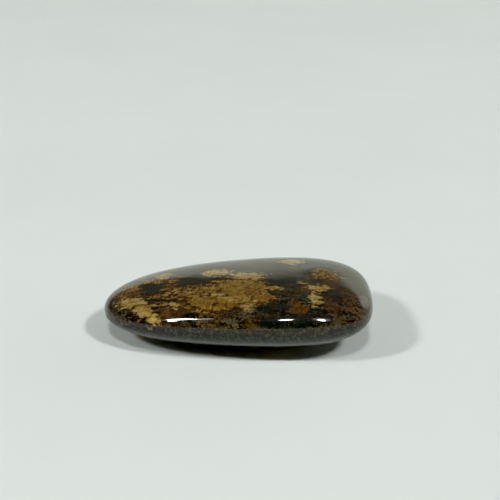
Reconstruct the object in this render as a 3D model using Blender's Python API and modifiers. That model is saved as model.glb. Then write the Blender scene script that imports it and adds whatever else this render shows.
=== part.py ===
"""A polished bronzite pebble: one tumbled stone that rests on a small flat spot.

Units are metres and +Z is up. +X runs along the stone from its narrow end to its broad end, and -Y is
its front. The origin lies on the resting surface, under the middle of the stone's box.
"""

import math

import bmesh
import bpy
from mathutils import Matrix

# Outline, seen from above
LENGTH = 0.0500
MIDDLE_WIDTH = 0.0317
BROADENING = 0.20  # share of the half width gained from the middle to the broad end
END_FULLNESS = 0.21  # share of the half width that both ends gain over a plain oval
BROAD_END_SQUARENESS = 2.7  # 2 is a round end, more is a blunter one
TIP_OFFSET = -0.0005  # Y of the broad tip over the middle of the stone; minus is to the front
OUTLINE_BOW = -0.0010  # Y of both tips over the middle's own line; minus is to the front

# Crown, from the girdle (the widest line round the stone) up
CROWN_HEIGHT = 0.0053
CROWN_ACROSS = 2.3  # 2 is an oval section, more gives a flatter top and a tighter shoulder
CROWN_UP = 2.6

# Belly, from the girdle down
BELLY_DEPTH = 0.0066
BELLY_DEEPENING = 0.20  # share of its depth that the belly gains towards the broad end
BELLY_ACROSS = 1.8
BELLY_UP = 2.1

# How the girdle lies
GIRDLE_RISE = 0.0013  # rise from the middle of the stone to the broad tip
GIRDLE_ROLL = -0.0005  # rise from the middle of the stone to the back edge

# The spot that the stone rests on
FLAT_SPOT_DEPTH = 0.00018

# Mesh density
CAGE_CELLS = 12  # cells along each edge of the cube that the cage starts as
SMOOTHING_LEVELS = 1

# Colour and finish
STONE_COLOUR = (0.10, 0.065, 0.025, 1.0)
STONE_ROUGHNESS = 0.12
STONE_METALLIC = 0.0

CUTTER_MARGIN = 0.010


def clear_scene():
    """Remove every object that the file opens with."""
    for obj in list(bpy.data.objects):
        bpy.data.objects.remove(obj, do_unlink=True)


def make_collection(name):
    """Return a new collection linked to the scene."""
    collection = bpy.data.collections.new(name)
    bpy.context.scene.collection.children.link(collection)
    return collection


def signed_power(value, exponent):
    """Raise the size of a number to a power and keep its sign."""
    return math.copysign(abs(value) ** exponent, value)


def pebble_point(direction):
    """Return the point of the pebble that belongs to a point of the unit sphere.

    The point's longitude gives a place on the outline, its latitude a place on the section between the
    outline and the middle of the crown or the belly.
    """
    flat_radius = math.hypot(direction.x, direction.y)
    along = direction.x / flat_radius if flat_radius > 0.0 else 0.0
    aside = direction.y / flat_radius if flat_radius > 0.0 else 0.0

    # A superellipse whose exponent grows smoothly from 2 in the middle to the broad end's own
    squareness = 2.0 + (BROAD_END_SQUARENESS - 2.0) * max(along, 0.0) ** 2
    along = signed_power(along, 2.0 / squareness)
    aside = signed_power(aside, 2.0 / squareness)
    half_width = MIDDLE_WIDTH / 2.0 * (1.0 + BROADENING * along + END_FULLNESS * along**2)

    above = direction.z >= 0.0
    spread = flat_radius ** (2.0 / (CROWN_ACROSS if above else BELLY_ACROSS))
    rise = signed_power(direction.z, 2.0 / (CROWN_UP if above else BELLY_UP))

    along *= spread
    x = LENGTH / 2.0 * along
    y = half_width * aside * spread + TIP_OFFSET * along + OUTLINE_BOW * (along**2 - 0.5)
    height = CROWN_HEIGHT if above else BELLY_DEPTH * (1.0 + BELLY_DEEPENING * along)
    z = height * rise + GIRDLE_RISE * along + GIRDLE_ROLL * y / (MIDDLE_WIDTH / 2.0)
    return (x, y, z)


def make_stone_material():
    """Return the dark bronze-brown polish of the stone."""
    material = bpy.data.materials.new("polished_bronzite")
    material.use_nodes = True
    shader = material.node_tree.nodes["Principled BSDF"]
    shader.inputs["Base Color"].default_value = STONE_COLOUR
    shader.inputs["Roughness"].default_value = STONE_ROUGHNESS
    shader.inputs["Metallic"].default_value = STONE_METALLIC
    material.diffuse_color = STONE_COLOUR
    return material


def make_pebble(collection):
    """Return the pebble: a coarse cage from a divided cube, smoothed by subdivision."""
    cage = bmesh.new()
    bmesh.ops.create_cube(cage, size=2.0)
    bmesh.ops.subdivide_edges(cage, edges=cage.edges[:], cuts=CAGE_CELLS - 1, use_grid_fill=True)
    for vertex in cage.verts:
        vertex.co = pebble_point(vertex.co.normalized())

    mesh = bpy.data.meshes.new("bronzite_pebble")
    cage.to_mesh(mesh)
    cage.free()
    mesh.shade_smooth()
    mesh.materials.append(make_stone_material())

    pebble = bpy.data.objects.new("bronzite_pebble", mesh)
    collection.objects.link(pebble)
    smoothing = pebble.modifiers.new("smoothing", "SUBSURF")
    smoothing.levels = SMOOTHING_LEVELS
    smoothing.render_levels = SMOOTHING_LEVELS
    return pebble


def smoothed_corners(obj):
    """Return the lowest and highest corners of an object's mesh after its modifiers."""
    evaluated = obj.evaluated_get(bpy.context.evaluated_depsgraph_get())
    mesh = evaluated.to_mesh()
    lowest = [min(vertex.co[axis] for vertex in mesh.vertices) for axis in range(3)]
    highest = [max(vertex.co[axis] for vertex in mesh.vertices) for axis in range(3)]
    evaluated.to_mesh_clear()
    return lowest, highest


def size_to_length(pebble):
    """Scale the cage so that the stone is LENGTH long, because smoothing draws its tips in a little."""
    lowest, highest = smoothed_corners(pebble)
    pebble.data.transform(Matrix.Scale(LENGTH / (highest[0] - lowest[0]), 4))
    bpy.context.view_layer.update()


def stand_on_origin(pebble):
    """Place the stone over the origin, so low that the flat spot's slice lies under Z = 0."""
    lowest, highest = smoothed_corners(pebble)
    pebble.location.x = -(lowest[0] + highest[0]) / 2.0
    pebble.location.y = -(lowest[1] + highest[1]) / 2.0
    pebble.location.z = -lowest[2] - FLAT_SPOT_DEPTH


def cut_flat_spot(pebble, collection):
    """Take the flat spot's slice off the belly with a block whose top face is at Z = 0."""
    block = bmesh.new()
    bmesh.ops.create_cube(block, size=1.0)
    for vertex in block.verts:
        vertex.co.x *= LENGTH + CUTTER_MARGIN
        vertex.co.y *= MIDDLE_WIDTH + CUTTER_MARGIN
        vertex.co.z = (vertex.co.z - 0.5) * CUTTER_MARGIN
    mesh = bpy.data.meshes.new("flat_spot_cutter")
    block.to_mesh(mesh)
    block.free()

    cutter = bpy.data.objects.new("flat_spot_cutter", mesh)
    collection.objects.link(cutter)
    cutter.hide_render = True
    cutter.display_type = "WIRE"

    slicing = pebble.modifiers.new("flat_spot", "BOOLEAN")
    slicing.operation = "DIFFERENCE"
    slicing.solver = "EXACT"
    slicing.object = cutter


def main():
    clear_scene()
    pebble = make_pebble(make_collection("bronzite_pebble"))
    size_to_length(pebble)
    stand_on_origin(pebble)
    cut_flat_spot(pebble, make_collection("cutters"))


main()
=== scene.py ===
import logging
import math
from dataclasses import dataclass, field
from enum import Enum
from typing import Any, Iterable, Mapping, Sequence, Union

import bpy
import numpy as np
from mathutils import Euler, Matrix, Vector
from mathutils.bvhtree import BVHTree


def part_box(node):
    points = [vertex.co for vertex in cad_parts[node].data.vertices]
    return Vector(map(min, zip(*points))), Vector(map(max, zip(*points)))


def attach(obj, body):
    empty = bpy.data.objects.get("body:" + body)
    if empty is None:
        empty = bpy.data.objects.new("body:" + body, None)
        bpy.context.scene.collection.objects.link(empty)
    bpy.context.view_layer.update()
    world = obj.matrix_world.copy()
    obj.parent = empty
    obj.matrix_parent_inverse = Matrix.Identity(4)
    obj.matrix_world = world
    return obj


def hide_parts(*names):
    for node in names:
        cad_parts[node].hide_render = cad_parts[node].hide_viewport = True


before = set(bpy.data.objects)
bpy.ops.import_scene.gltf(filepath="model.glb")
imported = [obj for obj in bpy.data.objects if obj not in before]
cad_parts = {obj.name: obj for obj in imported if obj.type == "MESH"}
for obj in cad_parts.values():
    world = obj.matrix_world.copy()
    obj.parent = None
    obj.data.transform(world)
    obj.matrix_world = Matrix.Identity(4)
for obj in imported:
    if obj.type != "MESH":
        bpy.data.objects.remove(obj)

"""A polished bronzite pebble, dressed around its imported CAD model, on a pale floor in soft light.

Metres, +Z up. +X runs along the stone from its narrow end to its broad end, and -Y is its front. The
pattern of the stone is laid out in millimetres, because its marks are a few millimetres wide.
"""

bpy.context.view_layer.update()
MM = 0.001

LOG = logging.getLogger("bronzite")

Number = Union["Signal", float]
Triple = tuple[float, float, float]
Pixel = tuple[float, float]
Operand = Union["Signal", Sequence[float], float]


class Signal:
    """One output of a shader node, which takes part in Python expressions."""

    def __init__(self, graph: "ShaderGraph", socket: bpy.types.NodeSocket) -> None:
        """Keep the graph that the socket belongs to, and the socket."""
        self.graph = graph
        self.socket = socket

    def _math(self, operation: str, *operands: Number) -> "Signal":
        """Return the result of a Math node on the operands, in their order."""
        return self.graph.node("ShaderNodeMath", {"operation": operation}, dict(enumerate(operands)))

    def __add__(self, other: Number) -> "Signal":
        """Return the sum."""
        return self._math("ADD", self, other)

    def __radd__(self, other: Number) -> "Signal":
        """Return the sum, with the number first."""
        return self._math("ADD", other, self)

    def __sub__(self, other: Number) -> "Signal":
        """Return the difference."""
        return self._math("SUBTRACT", self, other)

    def __rsub__(self, other: Number) -> "Signal":
        """Return a number less this signal."""
        return self._math("SUBTRACT", other, self)

    def __mul__(self, other: Number) -> "Signal":
        """Return the product."""
        return self._math("MULTIPLY", self, other)

    def __rmul__(self, other: Number) -> "Signal":
        """Return the product, with the number first."""
        return self._math("MULTIPLY", other, self)

    def maximum(self, other: Number) -> "Signal":
        """Return the greater of the two at each point."""
        return self._math("MAXIMUM", self, other)

    def minimum(self, other: Number) -> "Signal":
        """Return the lesser of the two at each point."""
        return self._math("MINIMUM", self, other)

    def step(self, low: float, high: float) -> "Signal":
        """Return a smooth step.

        Args:
            low: Value at which the step starts from 0.
            high: Value at which it reaches 1. Below low, the step runs the other way round.

        Returns:
            A signal between 0 and 1.
        """
        settings = {"interpolation_type": "SMOOTHSTEP"}
        if high > low:
            return self.graph.node("ShaderNodeMapRange", settings, {0: self, 1: low, 2: high, 3: 0.0, 4: 1.0})
        return self.graph.node("ShaderNodeMapRange", settings, {0: self, 1: high, 2: low, 3: 1.0, 4: 0.0})


@dataclass(frozen=True)
class Noise:
    """Settings of cloudy noise.

    Attributes:
        frequency: Waves per millimetre, one number or one for each axis.
        seed: Shift that sets this noise apart from others.
        detail: Number of finer layers.
        roughness: Strength of each finer layer over the one before.
    """

    frequency: Union[float, Triple]
    seed: float
    detail: float = 3.0
    roughness: float = 0.6


class ShaderGraph:
    """The node tree of one material or of the world."""

    MIX_FACTOR = 0
    MIX_UNDER = 6
    MIX_OVER = 7
    MIX_RESULT = 2

    def __init__(self, tree: bpy.types.NodeTree) -> None:
        """Empty the tree and keep it."""
        tree.nodes.clear()
        self.tree = tree

    def node(
        self,
        kind: str,
        settings: Mapping[str, Any],
        inputs: Mapping[Union[int, str], Any],
        output: Union[int, str] = 0,
    ) -> Signal:
        """Add one node.

        Args:
            kind: Blender's name of the node's type.
            settings: The node's own settings, set before its sockets.
            inputs: Value or signal of each socket, by its index or name.
            output: Index or name of the output that is wanted.

        Returns:
            The wanted output.
        """
        node = self.tree.nodes.new(kind)
        for name, value in settings.items():
            setattr(node, name, value)
        for key, value in inputs.items():
            if isinstance(value, Signal):
                self.tree.links.new(value.socket, node.inputs[key])
            else:
                node.inputs[key].default_value = value
        return Signal(self, node.outputs[output])

    def vector(self, operation: str, *operands: Operand) -> Signal:
        """Return the vector that a Vector Math node makes of its operands."""
        return self.node("ShaderNodeVectorMath", {"operation": operation}, dict(enumerate(operands)))

    def length(self, operand: Signal) -> Signal:
        """Return the length of a vector."""
        return self.node("ShaderNodeVectorMath", {"operation": "LENGTH"}, {0: operand}, "Value")

    def part(self, operand: Signal, axis: str) -> Signal:
        """Return one coordinate of a vector."""
        return self.node("ShaderNodeSeparateXYZ", {}, {0: operand}, axis)

    def blend(self, factor: Number, under: Union[Signal, Triple], over: Union[Signal, Triple]) -> Signal:
        """Mix two colours.

        Args:
            factor: Share of the upper colour, from 0 to 1.
            under: Colour where the factor is 0.
            over: Colour where the factor is 1.

        Returns:
            The mixed colour.
        """
        inputs = {
            self.MIX_FACTOR: factor,
            self.MIX_UNDER: under if isinstance(under, Signal) else (*under, 1.0),
            self.MIX_OVER: over if isinstance(over, Signal) else (*over, 1.0),
        }
        return self.node("ShaderNodeMix", {"data_type": "RGBA"}, inputs, self.MIX_RESULT)

    def noise(self, place: Signal, noise: Noise, output: str = "Fac") -> Signal:
        """Read cloudy noise.

        Args:
            place: Where to read it, in millimetres.
            noise: The noise's settings.
            output: "Fac" for one number near 0.5, or "Color" for three.

        Returns:
            The noise.
        """
        waves = noise.frequency if isinstance(noise.frequency, tuple) else (noise.frequency,) * 3
        shift = (noise.seed, 0.7 * noise.seed, 1.3 * noise.seed)
        at = self.vector("MULTIPLY_ADD", place, waves, shift)
        inputs = {"Vector": at, "Scale": 1.0, "Detail": noise.detail, "Roughness": noise.roughness}
        return self.node("ShaderNodeTexNoise", {"noise_dimensions": "3D"}, inputs, output)

    def object_place(self) -> Signal:
        """Return the point of the surface in the stone's own frame, in millimetres."""
        place = self.node("ShaderNodeTexCoord", {}, {}, "Object")
        return self.vector("MULTIPLY", place, (1.0 / MM,) * 3)

    def show(self, shader: Signal, kind: str = "ShaderNodeOutputMaterial") -> None:
        """Lead a shader to the tree's output."""
        output = self.tree.nodes.new(kind)
        self.tree.links.new(shader.socket, output.inputs["Surface"])


@dataclass(frozen=True)
class PhotoView:
    """The photograph's view of the stone: level, from the front and looking down.

    Attributes:
        pixels: Width and height of the photograph.
        angle: Degrees that it spans.
        fall: Degrees by which its middle looks down.
        origin_pixel: Where the frame's origin, the point under the stone, lies in it.
        pixel_size: What one pixel spans at the origin's depth, in metres.
    """

    pixels: int = 500
    angle: float = 24.0
    fall: float = 21.0
    origin_pixel: Pixel = (237.7, 332.5)
    pixel_size: float = 0.00019

    def rotation(self) -> Euler:
        """Return the camera's turn, from looking straight down."""
        return Euler((math.radians(90.0 - self.fall), 0.0, 0.0))

    def ray(self, pixel: Pixel) -> Vector:
        """Find where a pixel lies from the camera.

        Args:
            pixel: Place in the photograph, from its upper left corner.

        Returns:
            The vector from the camera to the pixel in a picture whose pixels are one unit wide.
        """
        half = self.pixels / 2.0
        depth = half / math.tan(math.radians(self.angle / 2.0))
        ray = Vector((pixel[0] - half, half - pixel[1], -depth))
        ray.rotate(self.rotation())
        return ray

    def place(self) -> Vector:
        """Return the camera's place in metres, from which the origin shows at its pixel."""
        return self.ray(self.origin_pixel) * -self.pixel_size

    def point_on(self, surface: BVHTree, pixel: Pixel) -> Triple:
        """Find the point of a surface that shows at a pixel.

        Args:
            surface: The surface, in metres.
            pixel: Place in the photograph.

        Returns:
            The point, in millimetres.

        Raises:
            ValueError: The surface doesn't show there.
        """
        point = surface.ray_cast(self.place(), self.ray(pixel))[0]
        if point is None:
            raise ValueError(f"no surface at pixel {pixel}")
        return tuple(point / MM)


class Mineral(Enum):
    """What a patch of the stone's surface consists of."""

    GOLD = "bronze-gold field with dark grains"
    OCHRE = "deeper, ochre-coloured gold with dark grains"
    LEAF = "paler, feathered gold leaf"
    RUST = "soft orange-brown stain"
    MAROON = "dark red-brown grain"
    INK = "blue-black, nearly clear of grains"
    LACE = "black, thick with fine gold flecks"
    CRACK = "thin black crack"


@dataclass(frozen=True)
class Patch:
    """One patch of the pattern: an ellipsoid in millimetres that the surface cuts through.

    Attributes:
        mineral: What the patch consists of.
        pixel: Where the patch's middle shows in the photograph.
        radii: Half lengths along its own axes.
        turn: Turn about Z in degrees, from +X towards +Y.
        cap: Greatest depth that counts, in millimetres. A shallow patch is broken up by the grain.
    """

    mineral: Mineral
    pixel: Pixel
    radii: Triple
    turn: float = 0.0
    cap: float = 9.0

    def depth(self, graph: ShaderGraph, place: Signal, middle: Triple) -> Signal:
        """Measure how deep a point lies in the patch.

        The formula is one less the distance from the middle, in which each axis counts in radii, times
        the smaller flat radius. It is zero on the patch's edge and below zero outside.

        Args:
            graph: Graph to add the nodes to.
            place: The point, in millimetres.
            middle: Middle of the patch, in millimetres.

        Returns:
            The depth in millimetres.
        """
        inputs = {
            "Vector": place,
            "Location": middle,
            "Rotation": (0.0, 0.0, math.radians(self.turn)),
            "Scale": self.radii,
        }
        own = graph.node("ShaderNodeMapping", {"vector_type": "TEXTURE"}, inputs)
        return ((1.0 - graph.length(own)) * min(self.radii[:2])).minimum(self.cap)


# Middles are pixels of the 500 by 500 photograph, half lengths are millimetres on the stone
PATCHES = (
    # The wide field over the middle of the crown, thinner at its left
    Patch(Mineral.GOLD, (245.0, 289.0), (4.3, 4.4, 5.0), 0.0, 1.3),
    Patch(Mineral.GOLD, (263.5, 297.5), (1.9, 1.5, 3.0), -30.0, 0.5),
    Patch(Mineral.GOLD, (230.0, 284.0), (4.0, 1.8, 3.0), -8.0, 0.40),
    Patch(Mineral.GOLD, (203.0, 293.0), (4.6, 3.0, 3.0), -15.0, 0.28),
    Patch(Mineral.GOLD, (171.0, 296.0), (3.6, 2.6, 3.0), -20.0, 0.08),
    Patch(Mineral.GOLD, (163.5, 278.0), (4.4, 2.8, 3.0), -25.0, 0.12),
    Patch(Mineral.OCHRE, (211.5, 301.5), (5.6, 2.5, 3.0), -8.0, 0.7),
    Patch(Mineral.OCHRE, (246.0, 300.0), (2.8, 1.7, 3.0), 0.0, 0.5),
    # Paler leaves on it and round it
    Patch(Mineral.LEAF, (216.5, 272.5), (2.9, 2.1, 3.0), -12.0),
    Patch(Mineral.LEAF, (247.0, 275.5), (3.7, 2.1, 3.0), -6.0),
    Patch(Mineral.LEAF, (167.0, 275.5), (1.9, 1.5, 3.0), -15.0),
    Patch(Mineral.LEAF, (131.0, 302.5), (3.6, 1.4, 3.0), -35.0),
    Patch(Mineral.LEAF, (146.0, 311.0), (3.0, 1.35, 3.0), -48.0),
    Patch(Mineral.LEAF, (155.0, 320.0), (1.3, 0.9, 1.2), -40.0),
    Patch(Mineral.LEAF, (249.0, 308.0), (1.6, 0.8, 3.0), -20.0),
    Patch(Mineral.LEAF, (274.5, 288.0), (1.5, 0.8, 3.0), -35.0),
    Patch(Mineral.LEAF, (321.0, 288.0), (2.1, 1.4, 3.0)),
    Patch(Mineral.LEAF, (315.5, 299.0), (1.0, 2.9, 3.0), -8.0),
    Patch(Mineral.LEAF, (298.0, 282.5), (0.8, 1.1, 3.0)),
    Patch(Mineral.LEAF, (175.5, 305.0), (1.1, 0.8, 3.0), -20.0),
    Patch(Mineral.LEAF, (292.0, 262.0), (2.6, 2.0, 3.0), -5.0, 0.6),
    Patch(Mineral.LEAF, (225.0, 296.5), (5.2, 0.45, 3.0), -22.0),
    Patch(Mineral.LEAF, (171.5, 291.5), (2.6, 0.4, 3.0), -25.0),
    # Orange-brown stains
    Patch(Mineral.RUST, (130.5, 293.0), (2.6, 2.8, 3.0), -45.0),
    Patch(Mineral.OCHRE, (127.0, 290.5), (2.0, 2.4, 3.0), -45.0, 0.35),
    Patch(Mineral.RUST, (168.0, 286.0), (1.7, 1.6, 3.0)),
    Patch(Mineral.RUST, (307.0, 287.5), (0.6, 1.8, 3.0)),
    Patch(Mineral.RUST, (332.0, 279.0), (2.0, 1.6, 3.0)),
    Patch(Mineral.OCHRE, (325.5, 274.0), (2.3, 2.7, 3.0), 0.0, 1.0),
    Patch(Mineral.RUST, (298.0, 308.0), (1.7, 1.8, 3.0)),
    Patch(Mineral.RUST, (250.0, 325.5), (0.65, 0.8, 1.3)),
    Patch(Mineral.RUST, (167.5, 311.5), (1.9, 0.9, 2.0), -25.0),
    Patch(Mineral.RUST, (246.0, 280.0), (3.9, 0.4, 3.0), -6.0),
    # The dark grain of the broad end
    Patch(Mineral.MAROON, (340.5, 295.0), (4.6, 7.0, 4.0)),
    # Blue-black patches between them
    Patch(Mineral.INK, (152.0, 288.5), (2.7, 2.3, 3.0), -40.0, 0.7),
    Patch(Mineral.INK, (280.5, 280.5), (3.6, 2.2, 3.0), 0.0, 0.4),
    Patch(Mineral.INK, (268.0, 307.5), (4.0, 1.3, 3.0), -5.0, 0.3),
    Patch(Mineral.INK, (307.0, 296.5), (0.8, 1.5, 3.0)),
    Patch(Mineral.INK, (334.0, 295.0), (1.3, 2.4, 3.0), 15.0),
    Patch(Mineral.INK, (316.0, 311.0), (1.2, 1.2, 3.0)),
    Patch(Mineral.INK, (288.0, 321.5), (6.5, 1.6, 1.5), 5.0, 0.5),
    Patch(Mineral.INK, (181.5, 274.0), (1.0, 1.5, 3.0)),
    Patch(Mineral.INK, (191.0, 280.5), (2.8, 1.7, 3.0), -20.0, 0.3),
    Patch(Mineral.INK, (164.0, 300.0), (2.5, 0.8, 3.0), -20.0, 0.2),
    # Fine flecks under the field and at the narrow end
    Patch(Mineral.LACE, (218.5, 318.5), (6.4, 2.6, 3.0)),
    Patch(Mineral.LACE, (117.5, 312.5), (3.4, 4.4, 3.4), -45.0),
    Patch(Mineral.LACE, (358.5, 306.0), (1.9, 3.0, 2.4)),
    # The long crack at the left end of the field
    Patch(Mineral.CRACK, (156.0, 300.0), (1.7, 0.28, 3.0), -20.0),
    Patch(Mineral.CRACK, (170.5, 300.0), (1.5, 0.25, 3.0), 0.0),
)


@dataclass(frozen=True)
class BronzitePolish:
    """The polished surface of the stone: gold fields and leaves in a nearly black ground.

    Colours are linear shares of the light that a finish sends back.

    Attributes:
        middles: Middle of each patch on the stone, in millimetres.
        slow_warp, fine_warp, thin_warp: Noise that breaks up the patches' edges.
        slow_reach, fine_reach, thin_reach: Twice its greatest shift along each axis, in millimetres.
        scatter_frequency: Frequency of the noise that makes patches on the back and the belly.
        clouds, grains, specks, streaks, dust: Noise in the minerals.
        gloss: Noise in the roughness.
        pits, relief_grain: Noise in the relief.
        grain_turn: Degrees from the stone's grain to +X.
        gold_metal: How metallic the gold is.
        roughness: Mean roughness of the stone under the polished skin.
        gold_smoothness: How much less rough the gold is.
        roughness_spread: Change of roughness that the gloss noise makes.
        coat_index: Refractive index of the polished skin.
        coat_roughness: Roughness of the polished skin.
        under_index: Refractive index of the stone under it.
        under_level: Strength of the stone's own gloss, which the skin over it replaces.
        relief_depth: Depth of the pits and the grain under the skin, in metres.
        relief_strength: Share of that depth that shows.
    """

    middles: Mapping[Patch, Triple]
    black: Triple = (0.005, 0.0045, 0.003)
    blue_black: Triple = (0.008, 0.011, 0.009)
    olive: Triple = (0.062, 0.053, 0.028)
    ash: Triple = (0.050, 0.048, 0.024)
    umber: Triple = (0.045, 0.021, 0.005)
    maroon: Triple = (0.075, 0.028, 0.009)
    rust: Triple = (0.125, 0.052, 0.010)
    ochre: Triple = (0.185, 0.100, 0.012)
    drab: Triple = (0.160, 0.105, 0.040)
    gold: Triple = (0.250, 0.156, 0.028)
    pale_gold: Triple = (0.345, 0.258, 0.085)
    slow_warp: Noise = Noise(0.40, 3.1, detail=2.0)
    slow_reach: Triple = (2.2, 2.2, 1.0)
    fine_warp: Noise = Noise(1.5, 8.3)
    fine_reach: Triple = (1.8, 2.4, 1.0)
    thin_warp: Noise = Noise((0.35, 1.2, 1.0), 5.7)
    thin_reach: Triple = (5.0, 0.6, 0.0)
    scatter_frequency: Triple = (0.11, 0.15, 0.15)
    clouds: Noise = Noise((0.35, 0.24, 0.35), 11.0, detail=2.0)
    grains: Noise = Noise((1.15, 0.72, 1.20), 17.0, detail=4.0, roughness=0.66)
    specks: Noise = Noise((2.10, 1.20, 2.00), 23.0, detail=2.0)
    streaks: Noise = Noise((0.30, 1.30, 1.30), 29.0, detail=4.0, roughness=0.65)
    dust: Noise = Noise((2.70, 1.60, 2.40), 67.0, detail=1.0)
    gloss: Noise = Noise(2.6, 4.0, detail=4.0)
    pits: Noise = Noise(4.5, 53.0, detail=2.0)
    relief_grain: Noise = Noise((1.7, 1.1, 1.7), 59.0, detail=4.0, roughness=0.7)
    grain_turn: float = 17.0
    gold_metal: float = 0.12
    roughness: float = 0.40
    gold_smoothness: float = 0.08
    roughness_spread: float = 0.25
    coat_index: float = 1.5
    coat_roughness: float = 0.05
    under_index: float = 1.5
    under_level: float = 0.0
    relief_depth: float = 0.00004
    relief_strength: float = 0.35

    def material(self, name: str) -> bpy.types.Material:
        """Make the finish.

        Args:
            name: Name of the new material.

        Returns:
            The material.
        """
        material = bpy.data.materials.new(name)
        material.use_nodes = True
        graph = ShaderGraph(material.node_tree)
        place = graph.object_place()
        warped = self.warp(graph, place)
        hidden = self.hidden(graph, place)

        colour, bright = self.pattern(graph, place, warped, hidden)
        gloss = self.roughness_spread * (graph.noise(place, self.gloss) - 0.5)
        inputs = {
            "Base Color": colour,
            "Metallic": bright * self.gold_metal,
            "Roughness": self.roughness - self.gold_smoothness * bright + gloss,
            "IOR": self.under_index,
            "Specular IOR Level": self.under_level,
            "Coat Weight": 1.0,
            "Coat Roughness": self.coat_roughness,
            "Coat IOR": self.coat_index,
            "Normal": self.relief(graph, place),
        }
        graph.show(graph.node("ShaderNodeBsdfPrincipled", {}, inputs))
        return material

    def warp(self, graph: ShaderGraph, place: Signal) -> Signal:
        """Shift points so that the patches' edges break up.

        Slow and fine noise shift a point every way, and a noise of long thin waves along X shifts it
        along X, which draws the edges out into feathers.

        Args:
            graph: Graph to add the nodes to.
            place: The point, in millimetres.

        Returns:
            The shifted point, in millimetres.
        """
        half = (0.5, 0.5, 0.5)
        slow = graph.vector("SUBTRACT", graph.noise(place, self.slow_warp, "Color"), half)
        fine = graph.vector("SUBTRACT", graph.noise(place, self.fine_warp, "Color"), half)
        thin = graph.vector("SUBTRACT", graph.noise(place, self.thin_warp, "Color"), half)
        moved = graph.vector("MULTIPLY_ADD", slow, self.slow_reach, place)
        moved = graph.vector("MULTIPLY_ADD", fine, self.fine_reach, moved)
        return graph.vector("MULTIPLY_ADD", thin, self.thin_reach, moved)

    def hidden(self, graph: ShaderGraph, place: Signal) -> Signal:
        """Return 1 on the back and the belly, whose patches follow noise, and 0 on the crown's front."""
        back = graph.part(place, "Y").step(9.5, 12.5)
        belly = graph.part(place, "Z").step(4.5, 3.0)
        return back.maximum(belly)

    def depth(self, graph: ShaderGraph, warped: Signal, mineral: Mineral) -> Signal:
        """Measure how deep a point lies in the named patches of one mineral.

        Args:
            graph: Graph to add the nodes to.
            warped: The shifted point, in millimetres.
            mineral: Which patches to take.

        Returns:
            The greatest of their depths, in millimetres.
        """
        depths = [
            patch.depth(graph, warped, middle)
            for patch, middle in self.middles.items()
            if patch.mineral is mineral
        ]
        greatest = depths[0]
        for depth in depths[1:]:
            greatest = greatest.maximum(depth)
        return greatest

    def scattered(
        self, graph: ShaderGraph, place: Signal, hidden: Signal, seed: float, cover: float
    ) -> Signal:
        """Make patches out of noise for the surface that no named patch describes.

        The formula is slow noise above a level, in millimetres, less a depth that no noise makes up for
        where the surface isn't hidden.

        Args:
            graph: Graph to add the nodes to.
            place: The point, in millimetres.
            hidden: 1 where these patches show.
            seed: Shift of the noise.
            cover: Level of the noise from which a patch starts. More gives fewer patches.

        Returns:
            The depth in a patch, in millimetres.
        """
        clouds = graph.noise(place, Noise(self.scatter_frequency, seed, detail=2.0, roughness=0.5))
        return (clouds - cover) * 40.0 - (1.0 - hidden) * 14.0

    def pattern(
        self, graph: ShaderGraph, place: Signal, warped: Signal, hidden: Signal
    ) -> tuple[Signal, Signal]:
        """Lay the minerals over each other.

        Args:
            graph: Graph to add the nodes to.
            place: The point, in millimetres.
            warped: The shifted point, in millimetres.
            hidden: 1 where the patches follow noise.

        Returns:
            The colour, and how much of it is gold, from 0 to 1.
        """
        along = self.along_grain(graph, place)
        clouds = graph.noise(place, self.clouds)
        grains = graph.noise(along, self.grains)
        specks = graph.noise(along, self.specks)
        streaks = graph.noise(along, self.streaks)
        mixed = 0.6 * specks + 0.4 * grains
        dust = 0.7 * graph.noise(along, self.dust) + 0.3 * grains
        belly = (graph.part(place, "Z") - 0.07 * graph.part(place, "X").minimum(0.0)).step(8.2, 6.6)

        # Blue-black patches, which keep gold and stain away
        ink = (self.depth(graph, warped, Mineral.INK) + 3.0 * (grains - 0.5)).step(-0.2, 0.5)

        # The ground: nearly black, with olive-brown grain and fine gold flecks
        fibres = 0.4 * mixed + 0.6 * streaks
        colour = graph.blend(fibres.step(0.46, 0.58), self.black, self.olive)
        colour = graph.blend(clouds.step(0.46, 0.62) * 0.5, colour, self.umber)
        colour = graph.blend(belly, colour, graph.blend(mixed.step(0.46, 0.62), self.black, self.ash))
        colour = graph.blend(ink * 0.75, colour, self.blue_black)
        lace = self.depth(graph, warped, Mineral.LACE).step(-0.6, 0.8)
        lace = lace.maximum(0.5 * self.scattered(graph, place, hidden, seed=61.0, cover=0.55).step(0.0, 1.0))
        flecks = (dust + 0.06 * lace - 0.02 * ink).step(0.60, 0.65) * (1.0 - 0.8 * belly)
        fleck_colour = graph.blend(clouds.step(0.42, 0.58), self.gold, self.drab)
        colour = graph.blend(flecks * 0.42, colour, fleck_colour)

        # Maroon grain
        maroon = self.depth(graph, warped, Mineral.MAROON)
        maroon = maroon.maximum(self.scattered(graph, place, hidden, seed=31.0, cover=0.55)).step(-1.0, 1.5)
        colour = graph.blend(maroon * mixed.step(0.49, 0.58) * (1.0 - 0.6 * ink), colour, self.maroon)

        # Soft orange-brown stains
        rust = self.depth(graph, warped, Mineral.RUST).maximum(
            self.scattered(graph, place, hidden, seed=37.0, cover=0.56)
        )
        stain = (rust + 2.5 * (grains - 0.5)).step(-0.5, 0.8)
        stain_colour = graph.blend(mixed.step(0.42, 0.58), self.umber, self.rust)
        colour = graph.blend(stain * (0.9 - 0.6 * ink), colour, stain_colour)

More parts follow.
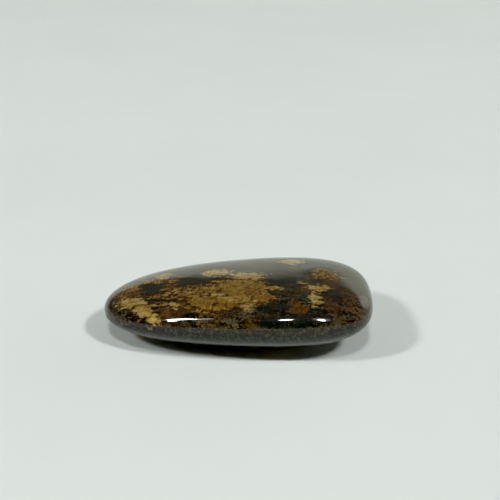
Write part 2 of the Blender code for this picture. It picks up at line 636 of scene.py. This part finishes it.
        # The gold field, broken by dark grains and thin streaks, most where it is shallow
        field_depth = self.depth(graph, warped, Mineral.GOLD).maximum(
            self.scattered(graph, place, hidden, seed=41.0, cover=0.55).minimum(0.5)
        )
        ochre_depth = self.depth(graph, warped, Mineral.OCHRE)
        deepest = field_depth.maximum(ochre_depth)
        broken = deepest + 5.0 * (grains - 0.49) + 5.0 * (streaks - 0.49)
        colour = graph.blend(broken.step(-1.0, -0.1) * (1.0 - ink), colour, self.umber)
        field_gold = broken.step(-0.2, 0.3) * (1.0 - 0.9 * ink)
        shallow = 0.35 + 0.65 * deepest.step(0.9, 0.1)
        field_colour = graph.blend(streaks.step(0.40, 0.60), self.ochre, self.gold)
        field_colour = graph.blend(
            (ochre_depth - field_depth).step(-0.3, 0.3) * 0.7, field_colour, self.ochre
        )
        field_colour = graph.blend(clouds.step(0.46, 0.62) * 0.6, field_colour, self.rust)
        field_colour = graph.blend(grains.step(0.50, 0.40) * 0.7, field_colour, self.umber)
        field_colour = graph.blend(streaks.step(0.44, 0.36) * shallow * 0.9, field_colour, self.umber)
        field_colour = graph.blend(specks.step(0.45, 0.36) * shallow * 0.9, field_colour, self.black)
        field_colour = graph.blend(specks.step(0.56, 0.68) * 0.6, field_colour, self.pale_gold)
        colour = graph.blend(field_gold, colour, field_colour)

        # Paler leaves
        leaf_depth = self.depth(graph, warped, Mineral.LEAF).maximum(
            self.scattered(graph, place, hidden, seed=47.0, cover=0.62)
        )
        leaf = (leaf_depth + 1.9 * (grains - 0.49) + 2.2 * (streaks - 0.5)).step(-0.15, 0.45)
        leaf_colour = graph.blend(streaks.step(0.38, 0.60), self.gold, self.pale_gold)
        leaf_colour = graph.blend(grains.step(0.52, 0.40) * 0.6, leaf_colour, self.ochre)
        leaf_colour = graph.blend(specks.step(0.44, 0.32) * 0.7, leaf_colour, self.umber)
        colour = graph.blend(leaf * (1.0 - 0.7 * ink), colour, leaf_colour)
        colour = graph.blend(0.35 * ink, colour, self.blue_black)

        # The crack
        crack = self.depth(graph, warped, Mineral.CRACK).step(-0.14, 0.06)
        colour = graph.blend(crack, colour, self.black)
        return colour, field_gold.maximum(leaf) * (1.0 - crack)

    def along_grain(self, graph: ShaderGraph, place: Signal) -> Signal:
        """Turn points about Z so that the grain of the stone runs along X."""
        turn = (0.0, 0.0, math.radians(self.grain_turn))
        return graph.node("ShaderNodeMapping", {"vector_type": "POINT"}, {"Vector": place, "Rotation": turn})

    def relief(self, graph: ShaderGraph, place: Signal) -> Signal:
        """Make the fine relief under the polish.

        Args:
            graph: Graph to add the nodes to.
            place: The point, in millimetres.

        Returns:
            The bumped normal.
        """
        pits = graph.noise(place, self.pits).step(0.36, 0.24)
        grain = graph.noise(self.along_grain(graph, place), self.relief_grain)
        height = 0.55 * grain - pits
        inputs = {"Strength": self.relief_strength, "Distance": self.relief_depth, "Height": height}
        return graph.node("ShaderNodeBump", {}, inputs)


@dataclass
class Pebble:
    """The stone: a closed surface of two angles, broad at +X and resting on a small flat spot.

    Lengths are in metres and repeat the CAD model's own dimensions. The girdle is the widest line
    round the stone, the crown lies above it and the belly under it.
    """

    length: float = 0.0500
    middle_width: float = 0.0317
    broadening: float = 0.20
    end_fullness: float = 0.21
    broad_end_squareness: float = 2.7
    tip_offset: float = -0.0005
    outline_bow: float = -0.0010
    crown_height: float = 0.0053
    crown_across: float = 2.3
    crown_up: float = 2.6
    belly_depth: float = 0.0066
    belly_deepening: float = 0.20
    belly_across: float = 1.8
    belly_up: float = 2.1
    girdle_rise: float = 0.0013
    girdle_roll: float = -0.0005
    flat_spot_depth: float = 0.00018
    flat_spot_rounding: float = 0.00005
    columns: int = 480
    rows: int = 200
    girdle_crowding: float = 1.3
    wave_height: float = 0.000012

    @staticmethod
    def signed_power(values: np.ndarray, exponents: Union[np.ndarray, float]) -> np.ndarray:
        """Return the sizes of the values raised to a power, with the values' signs."""
        return np.sign(values) * np.abs(values) ** exponents

    def surface(self, longitude: np.ndarray, latitude: np.ndarray) -> np.ndarray:
        """Work out points of the stone.

        Longitude gives a place on the outline, which is a superellipse: the cosine and the sine, each
        raised to two over a squareness that grows from 2 at the middle to its full value at the broad
        tip. The half width changes along the stone by a straight and a squared term. Latitude gives a
        place on the section between the outline and the middle: the cosine of latitude, raised to two
        over one exponent, scales the outline, and the sine, raised to two over another, scales the
        height. The girdle rises towards the broad end and rolls a little to the back.

        Args:
            longitude: Angle round the stone from +X, in radians.
            latitude: Angle above the girdle, in radians.

        Returns:
            Points in metres, before the flat spot, with X, Y and Z along the last axis.
        """
        along = np.cos(longitude)
        aside = np.sin(longitude)
        squareness = 2.0 + (self.broad_end_squareness - 2.0) * np.maximum(along, 0.0) ** 2
        along = self.signed_power(along, 2.0 / squareness)
        aside = self.signed_power(aside, 2.0 / squareness)
        half_width = self.middle_width / 2.0 * (1.0 + self.broadening * along + self.end_fullness * along**2)

        above = latitude >= 0.0
        spread = np.cos(latitude) ** (2.0 / np.where(above, self.crown_across, self.belly_across))
        rise = self.signed_power(np.sin(latitude), 2.0 / np.where(above, self.crown_up, self.belly_up))

        along = along * spread
        x = self.length / 2.0 * along
        y = half_width * aside * spread + self.tip_offset * along + self.outline_bow * (along**2 - 0.5)
        height = np.where(above, self.crown_height, self.belly_depth * (1.0 + self.belly_deepening * along))
        z = height * rise + self.girdle_rise * along + self.girdle_roll * y / (self.middle_width / 2.0)
        return np.stack(np.broadcast_arrays(x, y, z), axis=-1)

    def unevenness(self, points: np.ndarray) -> np.ndarray:
        """Return the slow waves that tumbling left: three sines across each other, in metres."""
        x, y, z = np.moveaxis(points / MM, -1, 0)
        waves = np.sin(0.52 * x + 0.31 * y + 1.0)
        waves = waves + 0.8 * np.sin(-0.23 * x + 0.66 * y + 0.5 * z)
        waves = waves + 0.6 * np.sin(0.81 * x - 0.57 * y + 0.7 * z + 2.0)
        return self.wave_height * waves

    def fitted(self, points: np.ndarray) -> np.ndarray:
        """Fit points to the CAD node's box.

        Args:
            points: Points of the stone, with the flat spot, in metres.

        Returns:
            The points, stretched a little along each axis so that their box is the node's.
        """
        low, high = (np.array(corner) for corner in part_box("bronzite_pebble"))
        lowest, highest = points.min(axis=0), points.max(axis=0)
        return low + (points - lowest) * (high - low) / (highest - lowest)

    def vertices(self) -> np.ndarray:
        """Work out the mesh's points: rows of a grid from the belly's pole to the crown's.

        The rows crowd towards the girdle, where the surface turns fastest. Under the stone a smooth
        maximum of the height and zero, which is half the sum of the height and the root of its square
        plus a small square, cuts the flat spot.

        Returns:
            Points in metres. The first and last are the poles.
        """
        turns = np.linspace(0.0, 2.0 * np.pi, self.columns, endpoint=False)
        levels = np.linspace(-1.0, 1.0, self.rows + 1)[1:-1]
        latitudes = np.pi / 2.0 * self.signed_power(levels, self.girdle_crowding)
        ring_points = self.surface(turns[None, :], latitudes[:, None]).reshape(-1, 3)
        poles = self.surface(np.zeros(2), np.array([-np.pi / 2.0, np.pi / 2.0]))
        points = np.concatenate((poles[:1], ring_points, poles[1:]))

        middle = points.mean(axis=0)
        outward = points - middle
        outward /= np.linalg.norm(outward, axis=1, keepdims=True)
        points = points + outward * self.unevenness(points)[:, None]

        height = points[:, 2] - points[:, 2].min() - self.flat_spot_depth
        points[:, 2] = 0.5 * (height + np.sqrt(height**2 + self.flat_spot_rounding**2))
        return self.fitted(points)

    def faces(self) -> list[list[int]]:
        """Join the grid: a fan at each pole, and quads that close round the stone between them.

        Returns:
            The corners of each face, in the order that makes it point outwards.
        """
        rings = self.rows - 1
        index = 1 + np.arange(rings * self.columns).reshape(rings, self.columns)
        following = np.roll(index, -1, axis=1)
        last = 1 + rings * self.columns
        quads = np.stack((index[:-1], following[:-1], following[1:], index[1:]), axis=-1).reshape(-1, 4)
        south = np.stack((following[0], index[0], np.zeros_like(index[0])), axis=-1)
        north = np.stack((index[-1], following[-1], np.full_like(index[-1], last)), axis=-1)
        return [*south.tolist(), *quads.tolist(), *north.tolist()]

    def build(self, photo: PhotoView) -> bpy.types.Object:
        """Make the stone and dress it.

        Args:
            photo: The view in which the patches' middles are given.

        Returns:
            The new object, which stands for the CAD node.
        """
        vertices, faces = self.vertices().tolist(), self.faces()
        surface = BVHTree.FromPolygons(vertices, faces)
        finish = BronzitePolish({patch: photo.point_on(surface, patch.pixel) for patch in PATCHES})
        mesh = bpy.data.meshes.new("polished_pebble")
        mesh.from_pydata(vertices, [], faces)
        mesh.shade_smooth()
        mesh.materials.append(finish.material("bronzite_polish"))
        stone = bpy.data.objects.new("polished_pebble", mesh)
        bpy.context.scene.collection.objects.link(stone)
        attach(stone, "root")
        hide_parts("bronzite_pebble")
        LOG.info("stone: %d vertices, %d faces", len(mesh.vertices), len(mesh.polygons))
        return stone


@dataclass(frozen=True)
class PaperFinish:
    """Matt, faintly green-white paper with a soft cloudiness.

    Attributes:
        colour: The paper's paler clouds.
        darker: Its darker clouds.
        warm: The sweep where it is pale.
        dark: Colour of the painted shade on the sweep's upper part.
        clouds: The paper's cloudiness.
    """

    colour: Triple = (0.755, 0.805, 0.775)
    darker: Triple = (0.740, 0.790, 0.762)
    warm: Triple = (0.790, 0.800, 0.700)
    # Colour of the painted shade on the sweep's upper part
    dark: Triple = (0.135, 0.135, 0.115)
    clouds: Noise = Noise(0.02, 2.0)

    def material(self, name: str) -> bpy.types.Material:
        """Make the finish.

        Args:
            name: Name of the new material.

        Returns:
            The material.
        """
        material = bpy.data.materials.new(name)
        material.use_nodes = True
        graph = ShaderGraph(material.node_tree)
        clouds = graph.noise(graph.object_place(), self.clouds)
        colour = graph.blend(clouds.step(0.3, 0.7), self.darker, self.colour)
        graph.show(graph.node("ShaderNodeBsdfDiffuse", {}, {"Color": colour}))
        return material

    def with_painted_shade(self, name: str, attribute: str) -> bpy.types.Material:
        """Make the finish with painted shade, which darkens it where an attribute of the mesh is 0.

        Args:
            name: Name of the new material.
            attribute: Name of the attribute, which is 1 where the paper is pale.

        Returns:
            The material.
        """
        material = bpy.data.materials.new(name)
        material.use_nodes = True
        graph = ShaderGraph(material.node_tree)
        pale = graph.node("ShaderNodeAttribute", {"attribute_name": attribute}, {}, "Fac")
        # Painted shade: the sweep's colour goes to the dark colour where the attribute is 0
        colour = graph.blend(pale, self.dark, self.warm)
        graph.show(graph.node("ShaderNodeBsdfDiffuse", {}, {"Color": colour}))
        return material


class LampUse(Enum):
    """What a lamp is for."""

    LIGHT = "lights the floor and the stone's body, and leaves no spot in the polish"
    GLINT = "shows in the polish only"


@dataclass(frozen=True)
class Lamp:
    """A soft oval lamp, aimed at the stone.

    Attributes:
        name: Name of the lamp.
        use: What the lamp is for.
        azimuth: Degrees from the front, -Y, towards +X.
        elevation: Degrees above the floor.
        width: Degrees that it spans across, seen from the stone.
        height: Degrees that it spans upwards.
        glow: Light that it gives off, in watts per square metre and steradian.
        distance: Metres from the stone.
    """

    name: str
    use: LampUse
    azimuth: float
    elevation: float
    width: float
    height: float
    glow: float
    distance: float = 3.6

    def span(self, degrees: float) -> float:
        """Return the length that spans an angle, seen from the stone."""
        return 2.0 * self.distance * math.tan(math.radians(degrees / 2.0))

    def build(self) -> None:
        """Make the lamp. Its power is its glow times its area times pi."""
        azimuth, elevation = math.radians(self.azimuth), math.radians(self.elevation)
        towards = Vector((
            math.sin(azimuth) * math.cos(elevation),
            -math.cos(azimuth) * math.cos(elevation),
            math.sin(elevation),
        ))
        data = bpy.data.lights.new(self.name, "AREA")
        data.shape = "ELLIPSE"
        data.size = self.span(self.width)
        data.size_y = self.span(self.height)
        area = math.pi * data.size * data.size_y / 4.0
        data.energy = self.glow * math.pi * area
        lamp = bpy.data.objects.new(self.name, data)
        lamp.location = towards * self.distance
        lamp.rotation_euler = towards.to_track_quat("Z", "Y").to_euler()
        lamp.visible_camera = False
        lamp.visible_glossy = self.use is not LampUse.LIGHT
        lamp.visible_diffuse = self.use is not LampUse.GLINT
        bpy.context.scene.collection.objects.link(lamp)
        LOG.info("lamp: %s", self.name)


@dataclass
class Studio:
    """The pale floor, the low sweep behind it, the lamps, the dark room and the camera.

    Attributes:
        photo: The view that the camera repeats.
        floor_radius: Half the floor's side.
        sweep_radius: Distance of the sweep from the origin.
        sweep_top: Elevation of the sweep's upper edge, in degrees.
        sweep_start: Azimuth of its one end, in degrees from the front, -Y, towards +X.
        sweep_end: Azimuth of its other end.
        sweep_columns: Points along it.
        sweep_rows: Points up it.
        painted_shade_middles: Azimuth, and elevation at which the sweep is half dark, for points along it.
        painted_shade_span: Degrees of elevation over which the sweep darkens.
        room_front: Strength of the room's light in front of the stone.
        room_back: Its strength behind and above the stone.
        room_seen: Its strength where the camera sees it directly.
        room_tint: Its colour.
        black_level: Tone that the picture shows as black.
        sensor_width: Width of the camera's sensor, in millimetres.
        clip_start: Nearest distance that the camera shows.
        clip_end: Farthest distance that it shows.
    """

    photo: PhotoView
    floor_radius: float = 6.0
    sweep_radius: float = 1.2
    sweep_top: float = 30.0
    sweep_start: float = 90.0
    sweep_end: float = 255.0
    sweep_columns: int = 166
    sweep_rows: int = 91
    # Painted shade on the sweep: for each azimuth, the elevation at which it is half dark
    painted_shade_middles: tuple[tuple[float, float], ...] = (
        (95.0, 28.0),
        (145.0, 27.0),
        (158.0, 21.0),
        (166.0, 17.5),
        (171.5, 15.0),
        (176.0, 19.0),
        (182.0, 20.0),
        (192.0, 14.0),
        (200.0, 11.0),
        (230.0, 5.0),
        (240.0, 4.0),
    )
    painted_shade_span: float = 5.0
    room_front: float = 0.010
    room_back: float = 0.11
    room_seen: float = 0.70
    room_tint: Triple = (0.95, 1.0, 0.97)
    black_level: float = 0.008
    sensor_width: float = 36.0
    clip_start: float = 0.01
    clip_end: float = 50.0
    lamps: tuple[Lamp, ...] = (
        Lamp("front_left_lamp", LampUse.LIGHT, -58.0, 39.0, 7.5, 7.5, 92.0),
        Lamp("front_lamp", LampUse.LIGHT, -1.0, 54.0, 7.5, 7.5, 68.0),
        Lamp("front_right_lamp", LampUse.LIGHT, 47.0, 45.0, 7.5, 7.5, 112.0),
        Lamp("left_glint", LampUse.GLINT, -53.0, 50.5, 4.0, 16.0, 110.0),
        Lamp("left_glint_foot", LampUse.GLINT, -47.0, 38.0, 2.6, 9.0, 80.0),
        Lamp("left_glint_rim", LampUse.GLINT, -53.0, 52.0, 6.4, 26.0, 4.6),
        Lamp("middle_glint", LampUse.GLINT, -13.2, 66.0, 4.8, 8.5, 52.0),
        Lamp("right_glint", LampUse.GLINT, 19.1, 56.5, 4.2, 17.0, 70.0),
        Lamp("right_glint_rim", LampUse.GLINT, 22.0, 58.0, 10.0, 30.0, 2.2),
        Lamp("rear_right_glint", LampUse.GLINT, 143.0, 18.0, 26.0, 20.0, 0.40, 1.0),
    )
    finish: PaperFinish = field(default_factory=PaperFinish)

    def build_floor(self, paper: bpy.types.Material) -> None:
        """Make the floor, a flat square.

        Args:
            paper: The floor's material.
        """
        r = self.floor_radius
        mesh = bpy.data.meshes.new("floor")
        mesh.from_pydata([(-r, -r, 0.0), (r, -r, 0.0), (r, r, 0.0), (-r, r, 0.0)], [], [(0, 1, 2, 3)])
        mesh.materials.append(paper)
        floor = bpy.data.objects.new("floor", mesh)
        bpy.context.scene.collection.objects.link(floor)
        LOG.info("floor: %.0f m wide", 2.0 * r)

    def build_sweep(self) -> None:
        """Make the low wall behind the stone.

        It is a strip of a cylinder round the stone, on a grid of azimuth and elevation. Its upper part
        carries
        painted shade: its paleness is a smooth step of the elevation, whose middle changes along the strip.
        """
        azimuth = np.linspace(self.sweep_start, self.sweep_end, self.sweep_columns)[None, :]
        elevation = np.linspace(0.0, self.sweep_top, self.sweep_rows)[:, None]
        x = self.sweep_radius * np.sin(np.radians(azimuth))
        y = -self.sweep_radius * np.cos(np.radians(azimuth))
        z = self.sweep_radius * np.tan(np.radians(elevation))
        points = np.stack(np.broadcast_arrays(x, y, z), axis=-1)

        rows, columns = points.shape[:2]
        index = np.arange(rows * columns).reshape(rows, columns)
        quads = np.stack((index[:-1, :-1], index[:-1, 1:], index[1:, 1:], index[1:, :-1]), axis=-1)
        mesh = bpy.data.meshes.new("sweep")
        mesh.from_pydata(points.reshape(-1, 3).tolist(), [], quads.reshape(-1, 4).tolist())

        # Painted shade: the sweep darkens above an elevation that changes along it
        middle = np.interp(azimuth, *np.transpose(self.painted_shade_middles))
        share = np.clip(0.5 + (middle - elevation) / self.painted_shade_span, 0.0, 1.0)
        pale = share**2 * (3.0 - 2.0 * share)
        attribute = mesh.attributes.new("pale", "FLOAT", "POINT")
        attribute.data.foreach_set("value", pale.astype(np.float32).ravel())

        mesh.materials.append(self.finish.with_painted_shade("paper_with_painted_shade", attribute.name))
        sweep = bpy.data.objects.new("sweep", mesh)
        bpy.context.scene.collection.objects.link(sweep)
        LOG.info("sweep: %.1f m from the stone", self.sweep_radius)

    def build_room(self) -> None:
        """Make the room.

        To the stone and the floor it is nearly dark, and darkest in front. It is pale where the camera
        sees it directly.
        """
        world = bpy.data.worlds.new("room")
        world.use_nodes = True
        graph = ShaderGraph(world.node_tree)
        direct = graph.node("ShaderNodeLightPath", {}, {}, "Is Camera Ray")
        towards = graph.node("ShaderNodeTexCoord", {}, {}, "Generated")
        behind = (graph.part(towards, "Y") + 0.8 * graph.part(towards, "Z")).step(-0.3, 0.5)
        unseen = self.room_front + behind * (self.room_back - self.room_front)
        strength = unseen + direct * (self.room_seen - unseen)
        inputs = {"Color": (*self.room_tint, 1.0), "Strength": strength}
        shader = graph.node("ShaderNodeBackground", {}, inputs)
        graph.show(shader, "ShaderNodeOutputWorld")
        bpy.context.scene.world = world

    def build_camera(self) -> None:
        """Make the camera, with the photograph's view."""
        data = bpy.data.cameras.new("camera")
        data.sensor_width = self.sensor_width
        data.lens = self.sensor_width / 2.0 / math.tan(math.radians(self.photo.angle / 2.0))
        data.clip_start = self.clip_start
        data.clip_end = self.clip_end
        camera = bpy.data.objects.new("camera", data)
        camera.location = self.photo.place()
        camera.rotation_euler = self.photo.rotation()
        bpy.context.scene.collection.objects.link(camera)
        bpy.context.scene.camera = camera
        LOG.info("camera: %.1f mm lens", data.lens)

    def build(self) -> None:
        """Make the whole studio and set the plain colour transform, with slightly deepened blacks."""
        paper = self.finish.material("pale_paper")
        self.build_floor(paper)
        self.build_sweep()
        self.build_room()
        for lamp in self.lamps:
            lamp.build()
        self.build_camera()
        view = bpy.context.scene.view_settings
        view.view_transform = "Standard"
        view.use_curve_mapping = True
        view.curve_mapping.curves[-1].points[0].location = (self.black_level, 0.0)
        view.curve_mapping.update()


def main() -> None:
    """Build the studio and the stone."""
    logging.basicConfig(level=logging.INFO, format="%(name)s %(message)s")
    photo = PhotoView()
    Studio(photo).build()
    Pebble().build(photo)


if __name__ == "__main__":
    main()
